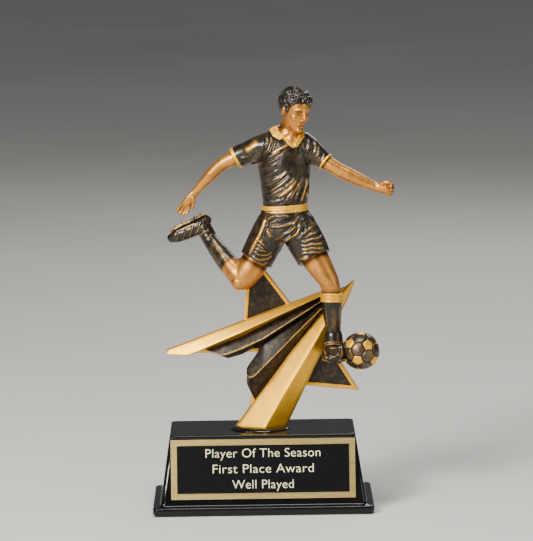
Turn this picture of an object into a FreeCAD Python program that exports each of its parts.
"""Figure trophy: a kicking soccer player on a fan of rays, in front of a star, on a black base.

Millimetres. X runs to the viewer's right, Y away from the viewer, Z up. The origin is the centre of
the felt's underside. The casting is divided where it is pinned and glued, and each piece is fitted
to the piece it joins.
"""
import FreeCAD, Part
import os
import re
import Sketcher

# Driving dimensions. Points in space are NAME_px, NAME_py, NAME_pz; every height of the sculpture is
# measured from the top of the base.
SIZES = {
    # --- base ---
    "felt_thickness": 1.0,
    "felt_margin": 1.0,
    "foot_flare": 4.0,
    "foot_rise": 3.5,
    "foot_corner": 2.5,
    "body_width": 104.0,
    "body_depth": 52.0,
    "body_corner": 3.5,
    "body_rise": 32.9,
    "side_slope": 8.5,
    "groove_rise": 0.8,
    "groove_inset": 0.6,
    "cap_rise": 1.8,
    "cap_round": 0.6,
    "shell_wall": 2.5,
    "glue_gap": 0.2,
    "cover_thickness": 1.5,
    "weight_rise": 16.0,
    "weight_margin": 3.0,
    # --- plates on the sloped front ---
    "plate_drop": 3.6,
    "backing_width": 93.2,
    "backing_height": 30.2,
    "backing_thickness": 0.6,
    "backing_tape_thickness": 0.3,
    "engraved_width": 87.0,
    "engraved_height": 24.2,
    "engraved_thickness": 0.5,
    "plate_tape_thickness": 0.1,
    "tape_margin": 2.0,
    # --- fastening ---
    "stud_px": 4.5,
    "stud_py": -2.6,
    "stud_radius": 2.5,
    "stud_above": 12.0,
    "stud_tail": 3.0,
    "bore_gap": 0.1,
    "washer_radius": 6.0,
    "washer_thickness": 1.0,
    "nut_across_flats": 8.0,
    "nut_rise": 4.7,
    "mound_py": -3.5,
    "mound_radius_across": 15.5,
    "mound_radius_deep": 11.5,
    "mound_rise": 2.0,
    "mound_draft": 2.5,
    # --- star: five tips and five notches, outline in X and Z ---
    "star_thickness": 4.0,
    "star_top_px": -5.7, "star_top_pz": 91.6,
    "star_notch_top_right_px": 17.0, "star_notch_top_right_pz": 61.0,
    "star_right_px": 46.5, "star_right_pz": 72.5,
    "star_notch_right_px": 33.0, "star_notch_right_pz": 45.0,
    "star_low_right_px": 49.7, "star_low_right_pz": 18.0,
    "star_notch_low_px": 14.0, "star_notch_low_pz": 22.0,
    "star_low_left_px": -8.4, "star_low_left_pz": 1.0,
    "star_notch_left_px": -0.6, "star_notch_left_pz": 39.3,
    "star_left_px": -40.0, "star_left_pz": 40.0,
    "star_notch_top_left_px": -9.0, "star_notch_top_left_pz": 52.5,
    # --- fan of rays: every ray lies flat on the star, between straight valleys ---
    "ray_back": 2.0,
    "fan_end": 38.0,
    "blade_tip_px": -48.5,
    "blade_tip_top": 40.4,
    "blade_tip_low": 38.9,
    "blade_tip_front": -3.0,
    "blade_wide_px": -37.0,
    "blade_wide_top": 44.4,
    "blade_wide_face": 38.4,
    "blade_wide_low": 36.6,
    "blade_crest": -6.5,
    "blade_edge_front": -3.0,
    "fan_valley_front": -0.5,
    "blade_end_top": 72.5,
    "blade_end_face": 71.4,
    "blade_end_low": 70.6,
    "valley_lap": 0.4,
    "middle_px": -20.0,
    "middle_top": 44.3,
    "middle_ridge": 37.7,
    "middle_low": 35.8,
    "middle_crest": -4.5,
    "middle_bend_px": 1.0,
    "middle_bend_top": 53.8,
    "middle_bend_ridge": 46.2,
    "middle_bend_low": 43.6,
    "middle_end_ridge": 69.9,
    "middle_end_low": 69.3,
    "lower_px": -4.0,
    "lower_top": 41.0,
    "lower_ridge": 27.3,
    "lower_low": 13.2,
    "lower_crest": -6.0,
    "lower_end_ridge": 68.9,
    "lower_end_low": 68.0,
    "ray_foot_left": -14.1,
    "ray_foot_ridge": 0.6,
    "ray_foot_right": 12.0,
    "ray_foot_front": -10.0,
    "ray_edge_front": -1.5,
    "ray_neck_pz": 66.0,
    "ray_neck_left": 36.43,
    "ray_neck_ridge": 39.5,
    "ray_neck_right": 44.45,
    "ray_neck_front": -6.0,
    "ray_tip_pz": 75.0,
    "ray_tip_left": 47.2,
    "ray_tip_ridge": 47.6,
    "ray_tip_right": 48.0,
    "ray_tip_front": -2.0,
    # --- ball ---
    "ball_touch_px": 40.75, "ball_py": -12.0, "ball_pz": 40.8,
    "ball_radius": 9.55,
    # --- joints of the figure ---
    "head_px": 18.9, "head_py": -5.5, "head_pz": 163.9,
    "neck_px": 14.6, "neck_py": -2.5, "neck_pz": 149.0,
    "chest_px": 13.6, "chest_py": -1.5, "chest_pz": 138.0,
    "waist_px": 12.8, "waist_py": -4.0, "waist_pz": 115.0,
    "right_shoulder_px": 2.0, "right_shoulder_py": 1.0, "right_shoulder_pz": 142.8,
    "right_cuff_px": -10.6, "right_cuff_py": 3.0, "right_cuff_pz": 138.2,
    "right_elbow_px": -22.0, "right_elbow_py": 4.5, "right_elbow_pz": 131.8,
    "right_wrist_px": -33.2, "right_wrist_py": 6.0, "right_wrist_pz": 119.6,
    "right_hand_px": -40.6, "right_hand_py": 7.0, "right_hand_pz": 111.0,
    "left_shoulder_px": 26.2, "left_shoulder_py": -3.0, "left_shoulder_pz": 142.4,
    "left_cuff_px": 34.2, "left_cuff_py": -6.0, "left_cuff_pz": 135.8,
    "left_elbow_px": 44.5, "left_elbow_py": -8.0, "left_elbow_pz": 130.3,
    "left_wrist_px": 57.6, "left_wrist_py": -10.0, "left_wrist_pz": 124.4,
    "left_hand_px": 64.3, "left_hand_py": -11.5, "left_hand_pz": 123.2,
    "right_hip_px": 6.0, "right_hip_py": -2.5, "right_hip_pz": 102.5,
    "right_hem_px": -1.6, "right_hem_py": -3.0, "right_hem_pz": 87.5,
    "right_knee_px": -9.6, "right_knee_py": -4.5, "right_knee_pz": 77.4,
    "right_ankle_px": -27.0, "right_ankle_py": 12.5, "right_ankle_pz": 97.2,
    "right_heel_px": -29.5, "right_heel_py": 13.5, "right_heel_pz": 102.6,
    "right_toe_px": -45.0, "right_toe_py": 15.5, "right_toe_pz": 97.3,
    "left_hip_px": 20.2, "left_hip_py": -6.0, "left_hip_pz": 102.5,
    "left_hem_px": 27.2, "left_hem_py": -9.2, "left_hem_pz": 90.5,
    "left_knee_px": 35.2, "left_knee_py": -11.0, "left_knee_pz": 77.0,
    "left_ankle_px": 36.5, "left_ankle_py": -8.0, "left_ankle_pz": 46.5,
    "left_heel_px": 36.4, "left_heel_py": -7.2, "left_heel_pz": 41.4,
    "left_toe_px": 36.5, "left_toe_py": -21.0, "left_toe_pz": 40.3,
    # --- thicknesses of the figure (radii of its sections) ---
    "joint_swell": 1.04,
    "head_half_width": 9.3,
    "head_half_depth": 10.4,
    "head_half_height": 12.1,
    "neck_radius": 5.6,
    "throat_radius": 5.0,
    "throat_share": 0.35,
    "nape_share": 0.7,
    "collar_radius": 6.6,
    "collar_depth": 5.9,
    "shoulder_line_width": 15.0,
    "shoulder_line_depth": 8.4,
    "shoulder_line_drop": 5.5,
    "chest_width": 14.4,
    "chest_depth": 9.8,
    "waist_width": 11.3,
    "waist_depth": 8.4,
    "hip_width": 12.6,
    "hip_depth": 9.4,
    "hip_drop": 9.0,
    "shoulder_radius": 7.0,
    "sleeve_root_radius": 6.65,
    "right_cuff_radius": 5.2,
    "left_cuff_radius": 4.8,
    "upper_arm_radius": 3.4,
    "elbow_radius": 3.2,
    "forearm_radius": 3.0,
    "forearm_share": 0.3,
    "wrist_radius": 2.1,
    "right_hand_radius": 2.6,
    "left_hand_radius": 3.9,
    "palm_share": 0.6,
    "knuckle_taper": 0.9,
    "shorts_hip_radius": 9.3,
    "shorts_hem_radius": 8.8,
    "thigh_radius": 6.9,
    "knee_radius": 6.2,
    "standing_knee_radius": 5.3,
    "below_knee_taper": 0.95,
    "calf_radius": 5.2,
    "calf_share": 0.3,
    "shin_radius": 4.5,
    "shin_share": 0.65,
    "ankle_radius": 3.6,
    "boot_collar_radius": 4.0,
    "boot_heel_radius": 4.1,
    "boot_waist_radius": 4.5,
    "boot_toe_radius": 3.1,
    # --- armature pins ---
    "seat_depth": 2.0,
    "thin_pin_radius": 0.8,
    "thick_pin_radius": 1.5,
    "pin_reach": 5.0,
    "waist_pin_reach": 7.0,
    "star_pin_depth": 2.5,
    "star_pin_left_px": -14.0, "star_pin_left_pz": 48.5,
    "star_pin_low_px": 14.0, "star_pin_low_pz": 28.0,
    "star_pin_right_px": 40.0, "star_pin_right_pz": 65.5,
    "shin_pin_px": 36.1, "shin_pin_py": -9.0, "shin_pin_pz": 58.0,
    "shin_pin_length": 7.5,
    "ball_pin_bite": 3.0,
}

doc = FreeCAD.newDocument("figure_trophy")
sheet = doc.addObject("Spreadsheet::Sheet", "sizes")
for row, (alias, number) in enumerate(SIZES.items(), start=1):
    sheet.set(f"A{row}", alias)
    sheet.set(f"B{row}", str(number))
    sheet.setAlias(f"B{row}", alias)
doc.recompute()

NODES = []


# ---------------------------------------------------------------- helpers
def cells(text):
    """An expression in which every word that names a driving dimension points at its cell."""
    return re.sub(r"[a-z]\w*", lambda word: f"sizes.{word[0]}" if word[0] in SIZES else word[0], text)


def bind(obj, **properties):
    """Bind each property to an expression; a double underscore stands for a dot."""
    for name, expression in properties.items():
        obj.setExpression(name.replace("__", "."), cells(expression))


def node(obj, label):
    """Name a finished piece and put it on the list of pieces to write."""
    obj.Label = label
    NODES.append(obj)
    return obj


def point(name):
    """The three coordinates of a named point of the sculpture."""
    return f"{name}_px", f"{name}_py", above(f"{name}_pz")


def between(start, end, share):
    """A point part of the way along a bone, as expressions; share 0 is the start."""
    return tuple(f"(({a}) + ({share}) * (({b}) - ({a})))" for a, b in zip(start, end))


def bone_length(start, end):
    """Length of the bone from one point to another."""
    squares = " + ".join(f"(({b}) - ({a})) * (({b}) - ({a}))" for a, b in zip(start, end))
    return f"sqrt({squares})"


def along(start, end, distance):
    """A point a fixed distance from the start of a bone, towards its end or away from it."""
    return between(start, end, f"({distance}) / {bone_length(start, end)}")


def stand(obj, place, start, end):
    """Put an object at a place, with its own Z axis along the bone from start to end."""
    run = tuple(f"(({b}) - ({a}))" for a, b in zip(start, end))
    turn = f"acos({run[2]} / {bone_length(start, end)})"
    bind(
        obj,
        Placement=f"placement(vector({'; '.join(place)}); "
                  f"rotation(vector(0 - {run[1]}; {run[0]}; 0); {turn}))",
    )
    return obj


def cylinder(name, radius, height):
    """A plain round bar."""
    bar = doc.addObject("Part::Cylinder", name)
    bind(bar, Radius=radius, Height=height)
    return bar


def sphere(name, place, radius):
    """A ball at a place."""
    ball = doc.addObject("Part::Sphere", name)
    bind(ball, Radius=radius, Placement__Base__x=place[0], Placement__Base__y=place[1],
         Placement__Base__z=place[2])
    return ball


def loft(name, sections, ruled=False):
    """A solid drawn through closed sections."""
    solid = doc.addObject("Part::Loft", name)
    solid.Sections = sections
    solid.Solid = True
    solid.Ruled = ruled
    return solid


def bone(name, start, end, stations):
    """A round limb: stations are (share of the way, radius), both as expressions."""
    sections = []
    for index, (share, radius) in enumerate(stations):
        ring = doc.addObject("Part::Circle", f"{name}_ring{index}")
        bind(ring, Radius=radius)
        sections.append(stand(ring, between(start, end, share), start, end))
    return loft(name, sections)


def level_oval(name, place, width, depth):
    """A level oval section, its long axis along X."""
    oval = doc.addObject("Part::Ellipse", name)
    bind(oval, MajorRadius=width, MinorRadius=depth, Placement__Base__x=place[0],
         Placement__Base__y=place[1], Placement__Base__z=place[2])
    return oval


def fused(name, pieces):
    """One solid from several that overlap."""
    whole = doc.addObject("Part::MultiFuse", name)
    whole.Shapes = pieces
    return whole


def cut(name, base, tools):
    """The base with every tool taken away."""
    tool = tools[0]
    if len(tools) > 1:
        tool = fused(f"{name}_tools", tools)
    remainder = doc.addObject("Part::Cut", name)
    remainder.Base = base
    remainder.Tool = tool
    return remainder


def origin_plane(body, role):
    """One of a body's own three planes."""
    return next(plane for plane in body.Origin.OriginFeatures if plane.Role == role)


def polygon_sketch(body, name, role, offset, corners):
    """A closed polygon on one of the body's planes, each corner held by two driving distances."""
    sketch = body.newObject("Sketcher::SketchObject", name)
    sketch.AttachmentSupport = [(origin_plane(body, role), "")]
    sketch.MapMode = "FlatFace"
    bind(sketch, AttachmentOffset__Base__z=offset)
    count = len(corners)
    spin = FreeCAD.Rotation(FreeCAD.Vector(0, 0, 1), 360.0 / count)
    spoke = FreeCAD.Vector(10, 0, 0)
    for _ in corners:
        following = spin.multVec(spoke)
        sketch.addGeometry(Part.LineSegment(spoke, following), False)
        spoke = following
    for index, (across, up) in enumerate(corners):
        sketch.addConstraint(Sketcher.Constraint("Coincident", index, 2, (index + 1) % count, 1))
        for kind, expression in (("DistanceX", across), ("DistanceY", up)):
            held = sketch.addConstraint(Sketcher.Constraint(kind, -1, 1, index, 1, 10.0))
            sketch.setExpression(f"Constraints[{held}]", cells(expression))
    return sketch


def rectangle(width, depth):
    """Corners of a rectangle about the origin."""
    halves = ((-1, -1), (1, -1), (1, 1), (-1, 1))
    return [(f"{x} * ({width}) / 2", f"{y} * ({depth}) / 2") for x, y in halves]


def pad(body, sketch, length, taper=None):
    """Thicken a sketch; the taper is how far the sides lean in."""
    block = body.newObject("PartDesign::Pad", f"{sketch.Name}_pad")
    block.Profile = sketch
    bind(block, Length=length)
    if taper:
        bind(block, TaperAngle=f"0 - {taper}")
    return block


def loft_body(name, role, sections):
    """A straight-sided loft between polygons: sections are (offset, corners)."""
    body = doc.addObject("PartDesign::Body", name)
    profiles = [polygon_sketch(body, f"{name}_section{index}", role, offset, corners)
                for index, (offset, corners) in enumerate(sections)]
    solid = body.newObject("PartDesign::AdditiveLoft", f"{name}_loft")
    solid.Profile = profiles[0]
    solid.Sections = profiles[1:]
    solid.Ruled = True
    return body


def pin(label, start, end, radius):
    """A pin between two points, and the tool for its close-fitting hole."""
    length = bone_length(start, end)
    bar = stand(cylinder(f"{label}_bar", radius, length), start, start, end)
    node(bar, label)
    return stand(cylinder(f"{label}_hole", f"{radius} + glue_gap / 2", length), start, start, end)


# ---------------------------------------------------------------- sizes that several pieces share
SHELL_FOOT = "felt_thickness"
FOOT_WIDTH = "(body_width + 2 * foot_flare)"
FOOT_DEPTH = "(body_depth + 2 * foot_flare)"
FOOT_TOP = "(felt_thickness + foot_rise)"
GROOVE_FOOT = f"({FOOT_TOP} + body_rise)"
BASE_TOP = f"({GROOVE_FOOT} + groove_rise + cap_rise)"
CEILING = f"({BASE_TOP} - shell_wall)"
EDGE_TOLERANCE = 0.1


def above(height):
    """A height of the sculpture, which stands on the base's top."""
    return f"({BASE_TOP} + {height})"


def narrowed(size, rise):
    """A body size at a height above the foot, where the sides lean in."""
    return f"({size} - 2 * ({rise}) * tan(side_slope))"


# ---------------------------------------------------------------- base
def upright_edges(shape, low, high):
    """Names of the corner edges that rise between two heights."""
    names = []
    for index, edge in enumerate(shape.Edges, start=1):
        box = edge.BoundBox
        if abs(box.ZMin - low) < EDGE_TOLERANCE and abs(box.ZMax - high) < EDGE_TOLERANCE:
            names.append(f"Edge{index}")
    return names


def tier(body, name, offset, width, depth, rise, taper):
    """One level of the base, standing on the level below."""
    sketch = polygon_sketch(body, name, "XY_Plane", offset, rectangle(width, depth))
    return pad(body, sketch, rise, taper)


def round_corners(body, name, feature, low, high, radius):
    """Round the upright corners of the level that was added last."""
    doc.recompute()
    fillet = body.newObject("PartDesign::Fillet", name)
    fillet.Base = (feature, upright_edges(feature.Shape, low, high))
    bind(fillet, Radius=radius)
    return fillet


def height_of(cell_names):
    """Sum of the named sizes, as a number."""
    return sum(sheet.get(name) for name in cell_names)


def groove_ring():
    """The tool that cuts the groove under the cap: a slab with a round-cornered hole."""
    slab = plain_box("groove_slab", FOOT_WIDTH, FOOT_DEPTH, "groove_rise", GROOVE_FOOT)
    core = plain_box("groove_core", f"{narrowed('body_width', 'body_rise')} - 2 * groove_inset",
                     f"{narrowed('body_depth', 'body_rise')} - 2 * groove_inset", "groove_rise",
                     GROOVE_FOOT)
    doc.recompute()
    low = core.Placement.Base.z
    corners = upright_edges(core.Shape, low, low + height_of(["groove_rise"]))
    round_core = doc.addObject("Part::Fillet", "groove_round_core")
    round_core.Base = core
    radius = height_of(["body_corner"]) - height_of(["groove_inset"])
    round_core.Edges = [(int(name[4:]), radius, radius) for name in corners]
    return cut("groove_ring", slab, [round_core])


def base_shell():
    """Hollow shell: foot, leaning sides, a groove under the cap, and the stud's hole."""
    body = doc.addObject("PartDesign::Body", "shell_body")
    foot_low = height_of(["felt_thickness"])
    foot_high = foot_low + height_of(["foot_rise"])
    top = foot_high + height_of(["body_rise", "groove_rise", "cap_rise"])
    foot = tier(body, "foot", SHELL_FOOT, FOOT_WIDTH, FOOT_DEPTH, "foot_rise", None)
    foot = round_corners(body, "foot_corners", foot, foot_low, foot_high, "foot_corner")
    side = tier(body, "side", FOOT_TOP, "body_width", "body_depth", f"{BASE_TOP} - {FOOT_TOP}",
                "side_slope")
    side = round_corners(body, "side_corners", side, foot_high, top, "body_corner")
    doc.recompute()
    rim = [f"Edge{index}" for index, edge in enumerate(side.Shape.Edges, start=1)
           if edge.BoundBox.ZMin > top - EDGE_TOLERANCE]
    soft = body.newObject("PartDesign::Fillet", "cap_edge")
    soft.Base = (side, rim)
    bind(soft, Radius="cap_round")
    hollow = polygon_sketch(body, "hollow", "XY_Plane", SHELL_FOOT,
                            rectangle("body_width - 2 * shell_wall", "body_depth - 2 * shell_wall"))
    pocket = body.newObject("PartDesign::Pocket", "hollow_pocket")
    pocket.Profile = hollow
    pocket.Reversed = True
    bind(pocket, Length=f"{CEILING} - {SHELL_FOOT}", TaperAngle="0 - side_slope")
    hole = cylinder("shell_hole", "stud_radius + bore_gap", BASE_TOP)
    bind(hole, Placement__Base__x="stud_px", Placement__Base__y="stud_py")
    return node(cut("shell_cut", body, [groove_ring(), hole]), "base_shell")


def plain_box(name, width, depth, rise, foot):
    """A box centred on the origin's Z axis."""
    block = doc.addObject("Part::Box", name)
    bind(block, Length=width, Width=depth, Height=rise, Placement__Base__x=f"0 - ({width}) / 2",
         Placement__Base__y=f"0 - ({depth}) / 2", Placement__Base__z=foot)
    return block


def base_inside():
    """Felt, cover board and the weight that stands on it."""
    felt = plain_box("felt", f"{FOOT_WIDTH} - 2 * felt_margin", f"{FOOT_DEPTH} - 2 * felt_margin",
                     "felt_thickness", "0")
    node(felt, "felt_pad")
    width = f"{narrowed('body_width', 'cover_thickness')} - 2 * shell_wall - 2 * glue_gap"
    depth = f"{narrowed('body_depth', 'cover_thickness')} - 2 * shell_wall - 2 * glue_gap"
    node(plain_box("cover", width, depth, "cover_thickness", SHELL_FOOT), "base_cover")
    block_width = f"{narrowed('body_width', 'weight_rise')} - 2 * shell_wall - 2 * weight_margin"
    block_depth = f"{narrowed('body_depth', 'weight_rise')} - 2 * shell_wall - 2 * weight_margin"
    node(plain_box("weight", block_width, block_depth, "weight_rise", f"{SHELL_FOOT} + cover_thickness"),
         "base_weight")


def sloped_plate(label, width, height, thickness, lift, climb):
    """A thin plate on the sloped front: lift is its stand-off, climb its distance up the slope."""
    plate = doc.addObject("Part::Box", f"{label}_box")
    bind(
        plate,
        Length=width,
        Width=height,
        Height=thickness,
        Placement=f"placement(vector(0 - ({width}) / 2; "
                  f"0 - body_depth / 2 + ({climb}) * sin(side_slope) - ({lift}) * cos(side_slope); "
                  f"{FOOT_TOP} + ({climb}) * cos(side_slope) + ({lift}) * sin(side_slope)); "
                  f"rotation(vector(1; 0; 0); 90 - side_slope))",
    )
    return node(plate, label)


def plates():
    """The brushed backing plate and the black plate, each on its own tape."""
    centre = "(plate_drop + backing_height / 2)"
    backing_lift = "backing_tape_thickness"
    tape_lift = f"({backing_lift} + backing_thickness)"
    plate_lift = f"({tape_lift} + plate_tape_thickness)"
    layers = (
        ("backing_tape", "backing_width - 2 * tape_margin", "(backing_height - 2 * tape_margin)",
         "backing_tape_thickness", "0"),
        ("backing_plate", "backing_width", "backing_height", "backing_thickness", backing_lift),
        ("plate_tape", "engraved_width - 2 * tape_margin", "(engraved_height - 2 * tape_margin)",
         "plate_tape_thickness", tape_lift),
        ("engraved_plate", "engraved_width", "engraved_height", "engraved_thickness", plate_lift),
    )
    for label, width, height, thickness, lift in layers:
        sloped_plate(label, width, height, thickness, lift, f"{centre} - {height} / 2")


# ---------------------------------------------------------------- fastening
def fastening():
    """Stud from the ray's foot through the shell's top, with its washer and nut."""
    low = f"({CEILING} - washer_thickness - nut_rise - stud_tail)"
    stud = cylinder("stud", "stud_radius", f"{BASE_TOP} + stud_above - {low}")
    bind(stud, Placement__Base__x="stud_px", Placement__Base__y="stud_py", Placement__Base__z=low)
    node(stud, "mounting_stud")
    washer = cylinder("washer_disc", "washer_radius", "washer_thickness")
    nut = doc.addObject("Part::Prism", "nut_prism")
    nut.Polygon = 6
    bind(nut, Circumradius="nut_across_flats / sqrt(3)", Height="nut_rise")
    for blank, foot, label in ((washer, f"{CEILING} - washer_thickness", "stud_washer"),
                               (nut, f"{CEILING} - washer_thickness - nut_rise", "stud_nut")):
        bore = cylinder(f"{label}_bore", "stud_radius + bore_gap", BASE_TOP)
        for piece, rise in ((blank, foot), (bore, "0")):
            bind(piece, Placement__Base__x="stud_px", Placement__Base__y="stud_py",
                 Placement__Base__z=rise)
        node(cut(f"{label}_cut", blank, [bore]), label)
    socket = cylinder("stud_socket", "stud_radius + bore_gap", f"{BASE_TOP} + stud_above - {low}")
    bind(socket, Placement__Base__x="stud_px", Placement__Base__y="stud_py", Placement__Base__z=low)
    return socket


# ---------------------------------------------------------------- star and rays
def star_plate():
    """The flat five-pointed star behind the rays."""
    names = ("top", "notch_top_right", "right", "notch_right", "low_right", "notch_low", "low_left",
             "notch_left", "left", "notch_top_left")
    body = doc.addObject("PartDesign::Body", "star_body")
    outline = polygon_sketch(body, "star_outline", "XZ_Plane", "0 - (ray_back + star_thickness)",
                             [(f"star_{name}_px", above(f"star_{name}_pz")) for name in names])
    pad(body, outline, "star_thickness")
    return body


def blade_body():
    """The long ray: a broad face that slopes forward, and a bevel under it."""
    def section(top, face, low, front, crest):
        return [("ray_back", above(top)), (front, above(top)), (crest, above(face)),
                ("fan_valley_front", above(low)), ("ray_back", above(low))]
    tip_top, tip_low = above("blade_tip_top"), above("blade_tip_low")
    tip = [("ray_back", tip_top), ("blade_tip_front", tip_top),
           ("blade_tip_front", f"({tip_top} + {tip_low}) / 2"),
           ("blade_tip_front", tip_low), ("ray_back", tip_low)]
    return loft_body("blade_body", "YZ_Plane", [
        ("blade_tip_px", tip),
        ("blade_wide_px", section("blade_wide_top", "blade_wide_face", "blade_wide_low",
                                  "blade_edge_front", "blade_crest")),
        ("fan_end", section("blade_end_top", "blade_end_face", "blade_end_low",
                            "blade_edge_front", "blade_crest")),
    ])


def sawtooth_body(name, crest, stations):
    """A ray whose broad face comes forward to a ridge and drops back: (place, top, ridge, low)."""
    sections = []
    for place, top, ridge, low in stations:
        upper, lower = f"{above(top)} + valley_lap", f"{above(low)} - valley_lap"
        sections.append((place, [("ray_back", upper), ("fan_valley_front", upper), (crest, above(ridge)),
                                 ("fan_valley_front", lower), ("ray_back", lower)]))
    return loft_body(name, "YZ_Plane", sections)


def gold_ray_body():
    """The thick ray that carries the figure, from the base to its tip at the right."""
    def section(left, ridge, right, front, edge):
        return [(left, "ray_back"), (left, edge), (ridge, front), (right, edge), (right, "ray_back")]
    return loft_body("ray_body", "XY_Plane", [
        (BASE_TOP, section("ray_foot_left", "ray_foot_ridge", "ray_foot_right", "ray_foot_front",
                           "ray_edge_front")),
        (above("ray_neck_pz"), section("ray_neck_left", "ray_neck_ridge", "ray_neck_right",
                                       "ray_neck_front", "ray_edge_front")),
        (above("ray_tip_pz"), section("ray_tip_left", "ray_tip_ridge", "ray_tip_right",
                                      "ray_tip_front", "ray_edge_front")),
    ])


def foot_mound():
    """Low oval mound that the gold ray's foot stands in."""
    centre = ("(ray_foot_left + ray_foot_right) / 2", "mound_py")
    low = level_oval("mound_foot", (*centre, BASE_TOP), "mound_radius_across", "mound_radius_deep")
    high = level_oval("mound_crown", (*centre, f"{BASE_TOP} + mound_rise"),
                      "mound_radius_across - mound_draft", "mound_radius_deep - mound_draft")
    return loft("mound_blank", [low, high], ruled=True)


# ---------------------------------------------------------------- figure
def head_blank():
    """Neck and an egg-shaped head."""
    neck, head = point("neck"), point("head")
    egg = doc.addObject("Part::Ellipsoid", "skull")
    bind(egg, Radius1="head_half_height", Radius2="head_half_depth", Radius3="head_half_width",
         Placement__Base__x=head[0], Placement__Base__y=head[1], Placement__Base__z=head[2])
    egg.Angle1 = -90
    egg.Angle2 = 90
    root = along(neck, head, "0 - seat_depth")
    throat = bone("throat", root, head, [("0", "neck_radius"), ("throat_share", "throat_radius"),
                                         ("nape_share", "neck_radius")])
    return fused("head_blank", [egg, throat])


def jersey_blank():
    """Trunk, shoulders and both sleeves."""
    waist, chest, neck = point("waist"), point("chest"), point("neck")
    midway = between(waist, chest, "0.5")
    yoke = (neck[0], f"({chest[1]} + {neck[1]}) / 2", f"{neck[2]} - shoulder_line_drop")
    trunk = loft("trunk", [
        level_oval("trunk_waist", waist, "waist_width", "waist_depth"),
        level_oval("trunk_ribs", midway, "(waist_width + chest_width) / 2",
                   "(waist_depth + chest_depth) / 2"),
        level_oval("trunk_chest", chest, "chest_width", "chest_depth"),
        level_oval("trunk_yoke", yoke, "shoulder_line_width", "shoulder_line_depth"),
        level_oval("trunk_collar", neck, "collar_radius", "collar_depth"),
    ])
    sleeves = []
    for side in ("right", "left"):
        shoulder, cuff = point(f"{side}_shoulder"), point(f"{side}_cuff")
        sleeves.append(sphere(f"{side}_shoulder_ball", shoulder, "shoulder_radius"))
        sleeves.append(bone(f"{side}_sleeve", shoulder, cuff,
                            [("0", "sleeve_root_radius"), ("1", f"{side}_cuff_radius")]))
    return fused("jersey_blank", [trunk] + sleeves)


def arm_blank(side, hand_radius):
    """Bare arm from the cuff to the hand."""
    cuff, elbow, wrist, hand = (point(f"{side}_{name}") for name in ("cuff", "elbow", "wrist", "hand"))
    root = along(cuff, elbow, "0 - seat_depth")
    return fused(f"{side}_arm_blank", [
        bone(f"{side}_upper_arm", root, elbow, [("0", "upper_arm_radius"), ("1", "elbow_radius")]),
        sphere(f"{side}_elbow_ball", elbow, "joint_swell * elbow_radius"),
        bone(f"{side}_forearm", elbow, wrist,
             [("0", "elbow_radius"), ("forearm_share", "forearm_radius"), ("1", "wrist_radius")]),
        bone(f"{side}_palm", wrist, hand,
             [("0", "wrist_radius"), ("palm_share", hand_radius),
              ("1", f"knuckle_taper * {hand_radius}")]),
        sphere(f"{side}_knuckles", hand, f"knuckle_taper * joint_swell * {hand_radius}"),
    ])


def shorts_blank():
    """Seat and two short legs."""
    waist = point("waist")
    seat = (waist[0], waist[1], f"{waist[2]} - hip_drop")
    pieces = [loft("seat", [level_oval("seat_low", seat, "hip_width", "hip_depth"),
                            level_oval("seat_high", waist, "waist_width", "waist_depth")])]
    for side in ("right", "left"):
        hip, hem = point(f"{side}_hip"), point(f"{side}_hem")
        pieces.append(sphere(f"{side}_hip_ball", hip, "joint_swell * shorts_hip_radius"))
        pieces.append(bone(f"{side}_short", hip, hem,
                           [("0", "shorts_hip_radius"), ("1", "shorts_hem_radius")]))
    return fused("shorts_blank", pieces)


def leg_blank(side, knee_radius):
    """Thigh from the hem, knee, and shin to the ankle."""
    hem, knee, ankle = (point(f"{side}_{name}") for name in ("hem", "knee", "ankle"))
    root = along(hem, knee, "0 - seat_depth")
    return fused(f"{side}_leg_blank", [
        bone(f"{side}_thigh", root, knee, [("0", "thigh_radius"), ("1", knee_radius)]),
        sphere(f"{side}_knee_ball", knee, f"joint_swell * {knee_radius}"),
        bone(f"{side}_shin", knee, ankle,
             [("0", f"below_knee_taper * {knee_radius}"), ("calf_share", "calf_radius"),
              ("shin_share", "shin_radius"), ("1", "ankle_radius")]),
    ])


def boot_blank(side):
    """Boot: a collar at the ankle and a foot from heel to toe."""
    knee, ankle, heel, toe = (point(f"{side}_{name}") for name in ("knee", "ankle", "heel", "toe"))
    beyond = along(ankle, heel, bone_length(ankle, heel))
    collar = bone(f"{side}_collar", ankle, along(ankle, knee, f"0 - {bone_length(ankle, heel)}"),
                  [("0", "ankle_radius"), ("1", "boot_collar_radius")])
    foot = bone(f"{side}_foot", heel, toe,
                [("0", "boot_heel_radius"), ("0.5", "boot_waist_radius"), ("1", "boot_toe_radius")])
    return fused(f"{side}_boot_blank", [
        collar,
        sphere(f"{side}_heel_ball", beyond, "joint_swell * boot_heel_radius"),
        foot,
        sphere(f"{side}_toe_ball", toe, "joint_swell * boot_toe_radius"),
    ])


def across_joint(label, before, joint, after, radius):
    """A pin through a parting face at a joint, from one bone into the next."""
    start = along(point(joint), point(before), "pin_reach")
    end = along(point(joint), point(after), "pin_reach")
    return pin(label, start, end, radius)


def finish(label, blank, tools):
    """The finished piece: its blank fitted to its neighbours, with the pin holes taken out."""
    return node(cut(f"{label}_cut", blank, tools), label)


def star_pins():
    """Three pins that hold the rays on the star: one group of like parts, and their holes."""
    bars, holes = [], []
    for name in ("left", "low", "right"):
        place = (f"star_pin_{name}_px", "ray_back + star_pin_depth", above(f"star_pin_{name}_pz"))
        tip = (place[0], "ray_back - star_pin_depth", place[2])
        length = "2 * star_pin_depth"
        bars.append(stand(cylinder(f"star_pin_{name}", "thin_pin_radius", length), place, place, tip))
        holes.append(stand(cylinder(f"star_hole_{name}", "thin_pin_radius + glue_gap / 2", length),
                           place, place, tip))
    group = doc.addObject("Part::Compound", "star_pin_group")
    group.Links = bars
    node(group, "star_pins")
    return holes


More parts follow.
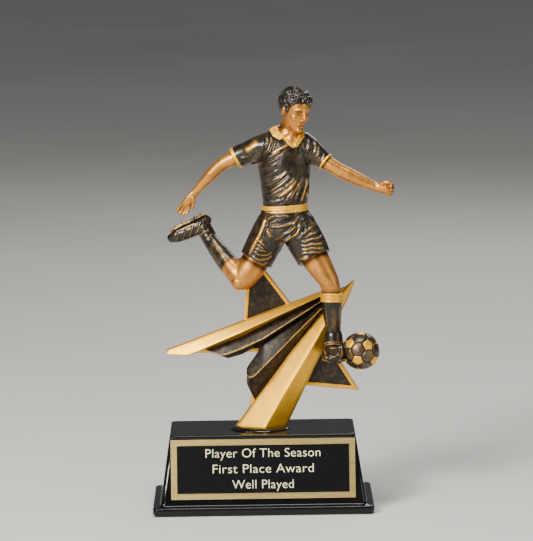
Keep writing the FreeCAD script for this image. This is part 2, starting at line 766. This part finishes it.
# ---------------------------------------------------------------- assembly
base_shell()
base_inside()
plates()
stud_socket = fastening()

ray = gold_ray_body()
blade = blade_body()
middle = sawtooth_body("middle_body", "middle_crest", [
    ("middle_px", "middle_top", "middle_ridge", "middle_low"),
    ("middle_bend_px", "middle_bend_top", "middle_bend_ridge", "middle_bend_low"),
    ("fan_end", "blade_end_low", "middle_end_ridge", "middle_end_low"),
])
lower = sawtooth_body("lower_body", "lower_crest", [
    ("lower_px", "lower_top", "lower_ridge", "lower_low"),
    ("fan_end", "middle_end_low", "lower_end_ridge", "lower_end_low"),
])
rays = [ray, blade, middle, lower]
star = star_plate()
ball_centre = ("(ball_touch_px + ball_radius)", "ball_py", above("ball_pz"))
ball = sphere("ball_blank", ball_centre, "ball_radius")
shorts = shorts_blank()
jersey = jersey_blank()
right_leg = leg_blank("right", "knee_radius")
left_leg = leg_blank("left", "standing_knee_radius")

waist_hole = pin("waist_pin", along(point("waist"), point("chest"), "0 - waist_pin_reach"),
                 along(point("waist"), point("chest"), "waist_pin_reach"), "thick_pin_radius")
neck_hole = pin("neck_pin", along(point("neck"), point("head"), "0 - pin_reach"),
                along(point("neck"), point("head"), "pin_reach"), "thin_pin_radius")
right_arm_hole = across_joint("right_arm_pin", "right_shoulder", "right_cuff", "right_elbow",
                              "thin_pin_radius")
left_arm_hole = across_joint("left_arm_pin", "left_shoulder", "left_cuff", "left_elbow",
                             "thin_pin_radius")
right_hem_hole = across_joint("kicking_leg_pin", "right_hip", "right_hem", "right_knee",
                              "thick_pin_radius")
left_hem_hole = across_joint("standing_leg_pin", "left_hip", "left_hem", "left_knee",
                             "thick_pin_radius")
right_boot_hole = across_joint("kicking_boot_pin", "right_knee", "right_ankle", "right_heel",
                               "thin_pin_radius")
left_boot_hole = across_joint("standing_boot_pin", "left_knee", "left_ankle", "left_heel",
                              "thin_pin_radius")
shin = point("shin_pin")
seat_hole = pin("shin_pin", shin, (shin[0], f"{shin[1]} + shin_pin_length", shin[2]), "thin_pin_radius")
ball_side = ("ball_touch_px", ball_centre[1], ball_centre[2])
ball_hole = pin("ball_pin", along(ball_side, ball_centre, "0 - ball_pin_bite"),
                along(ball_side, ball_centre, "ball_pin_bite"), "thin_pin_radius")
star_holes = star_pins()

finish("gold_ray", ray, [stud_socket, seat_hole] + star_holes)
finish("upper_blade", blade, star_holes)
finish("middle_ray", middle, [blade] + star_holes)
finish("lower_ray", lower, [middle, ray] + star_holes)
finish("star_plate", star, star_holes)
finish("foot_mound", foot_mound(), [ray, star])
finish("ball", ball, [ball_hole])
finish("standing_boot", boot_blank("left"), [left_leg, ball, left_boot_hole, ball_hole] + rays)
finish("kicking_boot", boot_blank("right"), [right_leg, right_boot_hole])
finish("standing_leg", left_leg, [shorts, left_hem_hole, left_boot_hole, seat_hole] + rays)
finish("kicking_leg", right_leg, [shorts, star, right_hem_hole, right_boot_hole])
finish("shorts", shorts, [star, waist_hole, right_hem_hole, left_hem_hole])
finish("jersey", jersey, [waist_hole, neck_hole, right_arm_hole, left_arm_hole])
finish("right_arm", arm_blank("right", "right_hand_radius"), [jersey, right_arm_hole])
finish("left_arm", arm_blank("left", "left_hand_radius"), [jersey, left_arm_hole])
finish("head", head_blank(), [jersey, neck_hole])

# ---------------------------------------------------------------- check and write
doc.recompute()
faults = [f"{item.Name} {item.State}" for item in doc.Objects
          if "Invalid" in item.State or "Error" in item.State]
faults += [f"{piece.Label} has no valid shape" for piece in NODES
           if piece.Shape.isNull() or not piece.Shape.isValid() or not piece.Shape.Solids]
if faults:
    raise RuntimeError("; ".join(faults))
os.makedirs("parts", exist_ok=True)
for piece in NODES:
    piece.Shape.exportStep(f"parts/{piece.Label}.step")
    print(f"{piece.Label:18s} {len(piece.Shape.Solids)} solid(s) {piece.Shape.Volume:10.1f} mm3")
